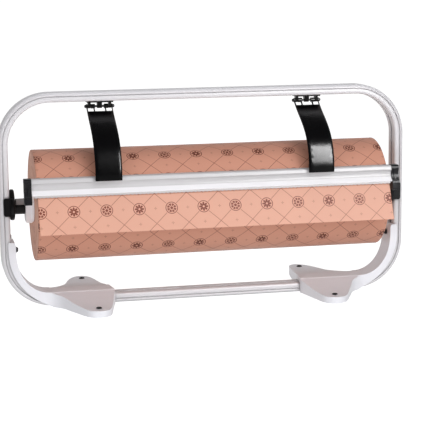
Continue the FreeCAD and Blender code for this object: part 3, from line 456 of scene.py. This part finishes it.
# the roll: printed outer turn, cut ends with fine turns, slight unevenness
def build_roll():
    lo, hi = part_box("paper_roll")
    core_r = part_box("core_tube")[1].z - AXIS_Z
    me = bpy.data.meshes.new("wrap_roll")
    bm = bmesh.new()
    uv = bm.loops.layers.uv.new("wrap")
    M = 240
    seam = math.atan2(0.17826 - AXIS_Z, 0.07084)
    xs = [lo.x] + [lo.x + 0.0006] + list(np.linspace(lo.x + 0.004, hi.x - 0.004, 60)) + [hi.x - 0.0006] + [hi.x]
    rings = []
    for i, x in enumerate(xs):
        row = []
        edge = min(x - lo.x, hi.x - x)
        for k in range(M):
            th = 2 * math.pi * k / M + seam
            dent = 0.00012 * math.sin(3 * th + 9.0 * x) + 0.00010 * math.sin(2 * th - 15.0 * x + 1.0)
            r = R - 0.00025 + dent
            if edge < 1e-6:
                r -= 0.0006
            row.append(bm.verts.new((x, FY - r * math.cos(th), AXIS_Z + r * math.sin(th))))
        rings.append(row)
    for i in range(len(xs) - 1):
        for k in range(M):
            k2 = (k + 1) % M
            f = bm.faces.new((rings[i][k], rings[i + 1][k], rings[i + 1][k2], rings[i][k2]))
            f.smooth = True
            f.material_index = 0
            for loop, (ii, kk) in zip(f.loops, ((i, k), (i + 1, k), (i + 1, k + 1), (i, k + 1))):
                loop[uv].uv = (xs[ii], (2 * math.pi * kk / M + seam) * R)
    # ends: rings of turns, each a little in or out
    rng = np.random.default_rng(7)
    for end, x, sgn in ((0, lo.x, 1.0), (-1, hi.x, -1.0)):
        radii = np.linspace(R - 0.0009, core_r + 0.0001, 44)
        prev = rings[end]
        for j, rr in enumerate(radii):
            off = float(rng.uniform(0.0, 0.00045)) if j % 6 else float(rng.uniform(0.0003, 0.0010))
            row = []
            for k in range(M):
                th = 2 * math.pi * k / M + seam
                row.append(bm.verts.new((x + sgn * off, FY - rr * math.cos(th), AXIS_Z + rr * math.sin(th))))
            for k in range(M):
                k2 = (k + 1) % M
                quad = (prev[k], prev[k2], row[k2], row[k]) if end == 0 else (prev[k2], prev[k], row[k], row[k2])
                f = bm.faces.new(quad)
                f.material_index = 1
                f.smooth = False
            prev = row
        if end == 0:
            first = prev
        else:
            last = prev
    for k in range(M):
        k2 = (k + 1) % M
        f = bm.faces.new((first[k], first[k2], last[k2], last[k]))
        f.material_index = 1
        f.smooth = True
    bmesh.ops.recalc_face_normals(bm, faces=bm.faces)
    bm.to_mesh(me)
    bm.free()
    o = bpy.data.objects.new("wrap_roll", me)
    scene.collection.objects.link(o)
    me.materials.append(PRINT)
    me.materials.append(EDGES)
    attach(o, "roll")
    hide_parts("paper_roll")
    return o


def build_web():
    """The free end: leaves the roll at a tangent, runs under the bar and ends at a toothed cut."""
    lo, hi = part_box("paper_web")
    y_top, z_top = -0.07084 + FY, 0.17826
    y_end, z_end = -0.0994 + FY, 0.1176
    # the inner face's ends on the CAD sheet give the run; the sheet bows very slightly between its ends, and the
    # cut itself stays straight
    me = bpy.data.meshes.new("wrap_web")
    bm = bmesh.new()
    uv = bm.loops.layers.uv.new("wrap")
    S = 40
    pitch = 0.0022
    n = int(round((hi.x - lo.x) / pitch)) * 2
    xs = np.linspace(lo.x, hi.x, n + 1)
    length = math.hypot(y_end - y_top, z_end - z_top)
    th_t = math.atan2(z_top - AXIS_Z, -(y_top - FY))
    d = Vector((0, (y_end - y_top) / length, (z_end - z_top) / length))
    nrm = Vector((0, d.z, -d.y))
    thick = 0.00022
    front, back = [], []
    for side, store in ((1.0, front), (-1.0, back)):
        for j in range(S + 1):
            f = j / S
            row = []
            for i, x in enumerate(xs):
                L = length * f
                if j == S:
                    L += 0.0005 * (1 if i % 2 else -1) - 0.0005
                bow = 0.00035 * math.sin(math.pi * f) * math.sin(2 * math.pi * (x - lo.x) / 0.34 + 0.6)
                c = Vector((x, y_top, z_top)) + d * L + nrm * (bow + side * thick / 2)
                row.append(bm.verts.new(c))
            store.append(row)
    for store, flip in ((front, False), (back, True)):
        for j in range(S):
            for i in range(n):
                q = (store[j][i], store[j + 1][i], store[j + 1][i + 1], store[j][i + 1])
                ids = ((j, i), (j + 1, i), (j + 1, i + 1), (j, i + 1))
                if flip:
                    q, ids = q[::-1], ids[::-1]
                f = bm.faces.new(q)
                f.smooth = True
                f.material_index = 1 if flip else 0
                for loop, (jj, ii) in zip(f.loops, ids):
                    loop[uv].uv = (xs[ii], th_t * R - length * jj / S)
    for i in range(n):
        for j in (0, S):
            f = bm.faces.new((front[j][i], front[j][i + 1], back[j][i + 1], back[j][i]))
            f.material_index = 1
    for j in range(S):
        for i in (0, n):
            f = bm.faces.new((front[j][i], front[j + 1][i], back[j + 1][i], back[j][i]))
            f.material_index = 1
    bmesh.ops.recalc_face_normals(bm, faces=bm.faces)
    bm.to_mesh(me)
    bm.free()
    o = bpy.data.objects.new("wrap_web", me)
    scene.collection.objects.link(o)
    me.materials.append(WEB_PRINT)
    me.materials.append(EDGES)
    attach(o, "axle")
    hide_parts("paper_web")
    return o


build_roll()
build_web()

# ------------------------------------------------------------------ floor and light
floor_mesh = bpy.data.meshes.new("floor")
bmf = bmesh.new()
bmesh.ops.create_grid(bmf, x_segments=8, y_segments=8, size=40.0)
bmf.to_mesh(floor_mesh)
bmf.free()
floor = bpy.data.objects.new("floor", floor_mesh)
floor.location = (0, 0, -0.0002)
scene.collection.objects.link(floor)
fm, ft, fp = new_material("floor_white")
fp.inputs["Base Color"].default_value = (0.22, 0.22, 0.22, 1)
fp.inputs["Roughness"].default_value = 0.9
fp.inputs["Specular IOR Level"].default_value = 0.0
fp.inputs["Emission Color"].default_value = (1, 1, 1, 1)
fp.inputs["Emission Strength"].default_value = 1.02
floor_mesh.materials.append(fm)
floor.visible_diffuse = False
floor.visible_glossy = False

world = bpy.data.worlds.new("studio")
world.use_nodes = True
wt = world.node_tree
wsep = wt.nodes.new("ShaderNodeSeparateXYZ")
wt.links.new(wt.nodes.new("ShaderNodeTexCoord").outputs["Generated"], wsep.inputs[0])
height = N(wt, wsep.outputs[2])
depth = N(wt, wsep.outputs[1])
# dim towards the front and the ceiling, white sweep below, to the sides and behind
sweep = depth.above(-0.05, 0.5) * (1.0 - height.abs() * 1.1).clamp()
glow = height.below(-0.22, 0.16) * 0.70 + height.above(0.30, 0.5) * 0.04 + sweep * 0.65 + 0.03
wt.links.new(glow.socket, wt.nodes["Background"].inputs[1])
wt.nodes["Background"].inputs[0].default_value = (1.0, 0.995, 0.99, 1)
scene.world = world
scene.view_settings.view_transform = "Standard"


def area(name, where, target, size, power, colour=(1, 1, 1)):
    light = bpy.data.lights.new(name, "AREA")
    light.shape = "RECTANGLE"
    light.size, light.size_y = size
    light.energy = power
    light.color = colour
    o = bpy.data.objects.new(name, light)
    o.location = where
    o.rotation_mode = "QUATERNION"
    o.rotation_quaternion = (Vector(target) - Vector(where)).to_track_quat("-Z", "Y")
    scene.collection.objects.link(o)
    return o


# a tall box that only the glossy faces see, and wide soft boxes that give the light itself
gleam = area("gleam_right", (0.85, -1.72, 1.12), (0.10, -0.05, 1.02), (0.42, 1.6), 55.0, (1.0, 0.995, 1.0))
gleam.visible_diffuse = False
for name, where, target, size, power, colour in (
        ("key_right_front", (0.95, -1.85, 0.95), (0.0, -0.05, 0.15), (1.3, 1.1), 16.5, (1.0, 0.99, 0.99)),
        ("key_front_high", (0.25, -1.75, 1.55), (0.0, -0.05, 0.12), (1.6, 0.9), 16.0, (0.99, 0.99, 1.0)),
        ("fill_front_low", (0.0, -2.5, 0.30), (0.0, 0.0, 0.16), (1.9, 0.6), 3.0, (0.99, 0.985, 1.0)),
        ("fill_left_front", (-1.45, -1.55, 0.28), (-0.12, -0.05, 0.12), (0.9, 0.5), 9.0, (0.99, 0.985, 1.0)),
        ("bounce_front", (0.0, -0.95, 0.012), (0.0, -0.30, 0.20), (1.7, 0.5), 2.9, (0.99, 0.985, 1.0)),
        ("fill_above", (0.0, 0.35, 1.70), (0.0, 0.0, 0.0), (1.5, 1.0), 10.0, (0.96, 0.98, 1.0))):
    soft = area(name, where, target, size, power, colour)
    soft.visible_glossy = False
    soft.visible_camera = False

# ------------------------------------------------------------------ camera
phi, elev, rho = (math.radians(a) for a in (12.382, 9.786, -0.57))
d = Vector((math.sin(phi) * math.cos(elev), math.cos(phi) * math.cos(elev), -math.sin(elev)))
r = Vector((math.cos(phi), -math.sin(phi), 0.0))
u = r.cross(d)
right = math.cos(rho) * r + math.sin(rho) * u
up = -math.sin(rho) * r + math.cos(rho) * u
cam_data = bpy.data.cameras.new("photo_camera")
cam_data.sensor_fit = "HORIZONTAL"
cam_data.sensor_width = 36.0
cam_data.lens = 1469.655 / 440.0 * 36.0
cam_data.clip_start, cam_data.clip_end = 0.1, 200.0
cam = bpy.data.objects.new("photo_camera", cam_data)
rot = Matrix((right, up, -d)).transposed().to_4x4()
cam.matrix_world = Matrix.Translation(Vector((-0.42836, -2.04885 + FY, 0.47286))) @ rot
scene.collection.objects.link(cam)
scene.camera = cam
